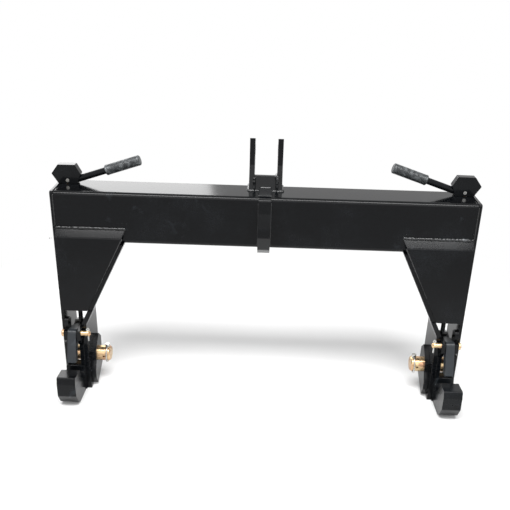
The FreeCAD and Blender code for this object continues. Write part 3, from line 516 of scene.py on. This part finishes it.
@dataclass
class Leg:
    """One leg of the hitch: plates, hook, lift pin and latch lugs, with their welds."""

    side: Side
    finishes: Finishes
    body: str = "frame"
    ring_wire: float = 1.3 * MM

    def name(self, part: str) -> str:
        """Full node name of a part of this leg."""
        return self.side.prefix + part

    def dress(self) -> None:
        """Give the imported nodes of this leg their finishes."""
        f = self.finishes
        plates = ("side_plate", "inner_wall", "gusset", "outer_lug", "inner_lug", "pin_boss")
        dress(map(self.name, plates), f.plate)
        dress([self.name("lower_hook")], f.forged)
        # the latch's paler enamel is partly wear and partly a painted reflection of the lamp
        dress([self.name("latch")], f.rubbed)
        dress(map(self.name, ("lift_pin", "pivot_pin")), f.yellow_zinc)
        dress(map(self.name, ("linch_pin", "cotter_pin")), f.bright_zinc)

    def build_welds(self) -> None:
        """Lay the beads between the plates of this leg and the beam."""
        way = self.side.value
        gusset_low, gusset_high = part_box(self.name("gusset"))
        beam_low, beam_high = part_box("beam")
        front = beam_low.y
        outer = gusset_high.x if way > 0 else gusset_low.x
        inner = gusset_low.x if way > 0 else gusset_high.x
        top = gusset_high.z
        foot = gusset_low.z
        lug_low, lug_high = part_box(self.name("inner_lug"))
        wall_foot = lug_low.x if way > 0 else lug_high.x
        slope_foot = wall_foot - way * 13.5 * MM
        beads = [
            Bead(Vector((inner, front - 0.5 * MM, top)),
                 Vector((outer, front - 0.5 * MM, top)), 2.6 * MM),
            Bead(Vector((outer, front, foot)), Vector((outer, front, top - 12 * MM)), 2.2 * MM),
            Bead(Vector((outer, front, top + 3 * MM)),
                 Vector((outer, front, beam_high.z - 5 * MM)), 1.3 * MM),
            Bead(Vector((outer, front + 6 * MM, beam_high.z)),
                 Vector((outer, front + 66 * MM, beam_high.z)), 1.4 * MM),
            Bead(Vector((slope_foot, gusset_low.y + 5 * MM, foot)),
                 Vector((inner + way * 7 * MM, gusset_low.y + 5 * MM, top - 15 * MM)), 1.8 * MM),
        ]
        spots = [Vector((outer - way * 3 * MM, front - 1 * MM, top + 4 * MM)),
                 Vector((outer - way * 2 * MM, gusset_low.y, top - 14 * MM)),
                 Vector((inner + way * 2 * MM, front, top))]
        weld_piece(self.name("leg_welds"), self.body, beads, spots, self.finishes.bead, 20 + way)


    def build_linch_ring(self) -> None:
        """Spin the wire ring of the linch pin."""
        low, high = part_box(self.name("linch_ring"))
        eye = (low + high) / 2.0
        hoop = (high.z - low.z) / 2.0 - self.ring_wire
        shape = bmesh.new()
        start = Matrix.Translation((eye.x, eye.y + hoop, eye.z))
        section = bmesh.ops.create_circle(shape, segments=12, radius=self.ring_wire, matrix=start)
        edges = list({e for v in section["verts"] for e in v.link_edges})
        bmesh.ops.spin(
            shape, geom=section["verts"] + edges, cent=eye, axis=(1, 0, 0), angle=math.tau, steps=64,
            use_merge=True)
        bmesh.ops.remove_doubles(shape, verts=shape.verts, dist=1e-6)
        piece = new_piece(self.name("wire_ring"), shape, self.finishes.bright_zinc)
        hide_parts(self.name("linch_ring"))
        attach(piece, self.name("ring"))


@dataclass
class ReleaseGear:
    """Lever, grip, cam, pull rod, spring and yoke of one side."""

    side: Side
    finishes: Finishes
    slope: float = math.radians(18.7)
    ribs: int = 23
    rib_pitch: float = 2.4 * MM
    rib_depth: float = 1.0 * MM
    grip_radius: float = 9.0 * MM
    grip_length: float = 62.0 * MM
    # one rib, as shares of its pitch and of its depth
    rib_form: tuple[tuple[float, float], ...] = (
        (0.12, 0.75), (0.3, 1.0), (0.5, 0.6), (0.62, 0.15), (0.8, 0.0), (0.98, 0.15))
    spring_wire: float = 1.3 * MM
    spring_turns: int = 7
    spring_steps: int = 28

    def name(self, part: str) -> str:
        """Full node name of a part of this side."""
        return self.side.prefix + part

    def dress(self) -> None:
        """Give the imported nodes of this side's gear their finishes."""
        f = self.finishes
        dress([self.name("cam"), self.name("lever")], f.plate)
        dress(map(self.name, ("yoke_pin", "spring_washer", "spring_stop_pin", "cam_pin")), f.bright_zinc)
        dress(map(self.name, ("pull_rod", "yoke")), f.turned)
        dress([self.name("rod_bush")], f.bronze)

    def build_grip(self) -> None:
        """Spin the ribbed rubber grip and set it on the lever."""
        half = self.grip_length / 2.0
        points = [(0.0, -half), (6.0 * MM, -half), (self.grip_radius - 0.6 * MM, -half),
                  (self.grip_radius, -half + 0.8 * MM), (self.grip_radius, -half + 3.0 * MM)]
        at = -half + 3.0 * MM
        for _ in range(self.ribs):
            for share, depth in self.rib_form:
                points.append((self.grip_radius - depth * self.rib_depth, at + share * self.rib_pitch))
            at += self.rib_pitch
        points += [(self.grip_radius - 0.2 * MM, half - 1.6 * MM),
                   (self.grip_radius - 1.6 * MM, half - 0.3 * MM),
                   (self.grip_radius - 3.0 * MM, half), (0.0, half)]
        shape = bmesh.new()
        verts = [shape.verts.new((r, 0.0, z)) for r, z in points]
        edges = [shape.edges.new((a, b)) for a, b in zip(verts, verts[1:])]
        bmesh.ops.spin(
            shape, geom=verts + edges, cent=(0, 0, 0), axis=(0, 0, 1), angle=math.tau, steps=36,
            use_merge=True)
        bmesh.ops.remove_doubles(shape, verts=shape.verts, dist=1e-6)
        along = Vector((-self.side.value * math.cos(self.slope), 0.0, math.sin(self.slope)))
        turn = along.to_track_quat("Z", "Y").to_matrix().to_4x4()
        place = Matrix.Translation(middle(self.name("grip"))) @ turn
        bmesh.ops.transform(shape, matrix=place, verts=shape.verts)
        piece = new_piece(self.name("ribbed_grip"), shape, self.finishes.rubber)
        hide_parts(self.name("grip"))
        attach(piece, self.name("handle"))


    def build_spring(self) -> None:
        """Wind the compression spring round the pull rod."""
        low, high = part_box(self.name("return_spring"))
        axle = (low + high) / 2.0
        coil = (high.x - low.x) / 2.0 - self.spring_wire
        foot = low.z + self.spring_wire
        rise = high.z - low.z - 2.0 * self.spring_wire
        shape = bmesh.new()
        start = Matrix.Translation((axle.x + coil, axle.y, foot)) @ Matrix.Rotation(math.pi / 2.0, 4, "X")
        section = bmesh.ops.create_circle(shape, segments=10, radius=self.spring_wire, matrix=start)
        steps = self.spring_turns * self.spring_steps
        ring = section["verts"] + list({e for v in section["verts"] for e in v.link_edges})
        bmesh.ops.spin(
            shape, geom=ring, cent=(axle.x, axle.y, foot), axis=(0, 0, 1), dvec=(0, 0, rise / steps),
            angle=self.spring_turns * math.tau, steps=steps)
        bmesh.ops.holes_fill(shape, edges=[e for e in shape.edges if e.is_boundary], sides=12)
        piece = new_piece(self.name("coil_spring"), shape, self.finishes.spring)
        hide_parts(self.name("return_spring"))
        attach(piece, "frame")


def seen_ray(tree: bpy.types.NodeTree) -> bpy.types.NodeSocket:
    """One for rays that see the room directly, in gloss or through glass, else zero.

    Args:
        tree: node tree to work in.

    Returns:
        The ray test.
    """
    rays = add_node(tree, "LightPath").outputs
    seen = rays["Is Camera Ray"]
    for kind in ("Is Glossy Ray", "Is Transmission Ray"):
        seen = add_node(tree, "Math", links={"0": seen, "1": rays[kind]}, operation="MAXIMUM").outputs[0]
    return seen


@dataclass
class Studio:
    """Plain floor, soft lamps and the camera."""

    camera_at: Vector = field(default_factory=lambda: Vector((3.66, -1077.78, 749.35)) * MM)
    yaw: float = 0.013353
    pitch: float = 0.411411
    roll: float = 0.027935
    lens_mm: float = 47.963
    shift: float = -0.00412

    def build(self) -> None:
        """Make the floor, the lamps, the world and the camera."""
        self._floor()
        self._lamps()
        self._world()
        self._camera()

    def _floor(self) -> None:
        """Lay a wide pale floor under the feet of the hooks."""
        shape = bmesh.new()
        bmesh.ops.create_grid(shape, x_segments=1, y_segments=1, size=30.0)
        mesh = bpy.data.meshes.new("floor")
        shape.to_mesh(mesh)
        shape.free()
        material = bpy.data.materials.new("matt_white_board")
        material.use_nodes = True
        tree = material.node_tree
        shader = tree.nodes["Principled BSDF"]
        place = add_node(tree, "TexCoord").outputs["Object"]
        away = add_node(tree, "VectorMath", links={"0": place}, operation="LENGTH").outputs["Value"]
        far = add_node(
            tree, "Math", links={"0": ramp(tree, away, 0.35, 0.85), "1": seen_ray(tree)},
            operation="MULTIPLY").outputs[0]
        glow = add_node(tree, "Emission", {"Color": (1.0, 1.0, 1.0, 1.0), "Strength": 1.0})
        mixed = add_node(tree, "MixShader", links={
            "0": far, "1": shader.outputs[0], "2": glow.outputs[0]})
        tree.links.new(mixed.outputs[0], tree.nodes["Material Output"].inputs["Surface"])
        shader.inputs["Base Color"].default_value = linear("fafafa")
        shader.inputs["Roughness"].default_value = 0.9
        shader.inputs["Specular IOR Level"].default_value = 0.1
        mesh.materials.append(material)
        floor = bpy.data.objects.new("floor", mesh)
        floor.location.z = -0.0002
        bpy.context.scene.collection.objects.link(floor)

    def _lamp(
        self, name: str, at: tuple[float, float, float], size: tuple[float, float], watts: float
    ) -> None:
        """Hang one soft rectangular lamp that faces the hitch.

        Args:
            name: name of the lamp.
            at: its place.
            size: width and height.
            watts: its power.
        """
        data = bpy.data.lights.new(name, "AREA")
        data.shape = "RECTANGLE"
        data.size, data.size_y = size
        data.energy = watts
        lamp = bpy.data.objects.new(name, data)
        lamp.location = at
        lamp.visible_camera = False
        lamp.rotation_euler = (Vector((0.0, 0.0, 0.25)) - Vector(at)).to_track_quat("-Z", "Y").to_euler()
        bpy.context.scene.collection.objects.link(lamp)

    def _lamps(self) -> None:
        """Hang the soft lamps."""
        self._lamp("overhead_softbox", (0.0, -0.75, 1.95), (1.8, 0.5), 48.0)
        self._lamp("front_softbox", (0.0, -3.2, 2.2), (3.0, 2.4), 34.0)
        self._lamp("rear_softbox", (-0.75, 1.6, 0.95), (1.1, 0.7), 9.0)

    def _world(self) -> None:
        """Fill the room with even white light."""
        world = bpy.data.worlds.new("room")
        world.use_nodes = True
        bpy.context.scene.world = world
        back = world.node_tree.nodes["Background"]
        back.inputs["Color"].default_value = (1.0, 1.0, 1.0, 1.0)
        level = ramp(world.node_tree, seen_ray(world.node_tree), 0.0, 1.0, 0.5, 1.0)
        world.node_tree.links.new(level, back.inputs["Strength"])
        bpy.context.scene.view_settings.view_transform = "Standard"

    def _camera(self) -> None:
        """Set the camera at the eye of someone standing at the implement."""
        data = bpy.data.cameras.new("camera")
        data.lens = self.lens_mm
        data.sensor_width = 36.0
        data.shift_x = self.shift
        camera = bpy.data.objects.new("camera", data)
        turn = Matrix.Rotation(self.yaw, 4, "Z") @ Matrix.Rotation(math.pi / 2 - self.pitch, 4, "X")
        camera.matrix_world = Matrix.Translation(self.camera_at) @ turn @ Matrix.Rotation(self.roll, 4, "Z")
        bpy.context.scene.collection.objects.link(camera)
        bpy.context.scene.camera = camera


def main() -> None:
    """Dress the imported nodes, add the made pieces and set up the studio."""
    Studio().build()
    finishes = Finishes()
    centre = MiddleGroup(finishes)
    centre.dress()
    centre.build_welds()
    for side in Side:
        leg = Leg(side, finishes)
        leg.dress()
        leg.build_welds()
        leg.build_linch_ring()
        gear = ReleaseGear(side, finishes)
        gear.dress()
        gear.build_grip()
        gear.build_spring()
        LOG.info("finished the %s side", side.name.lower())


if __name__ == "__main__":
    main()
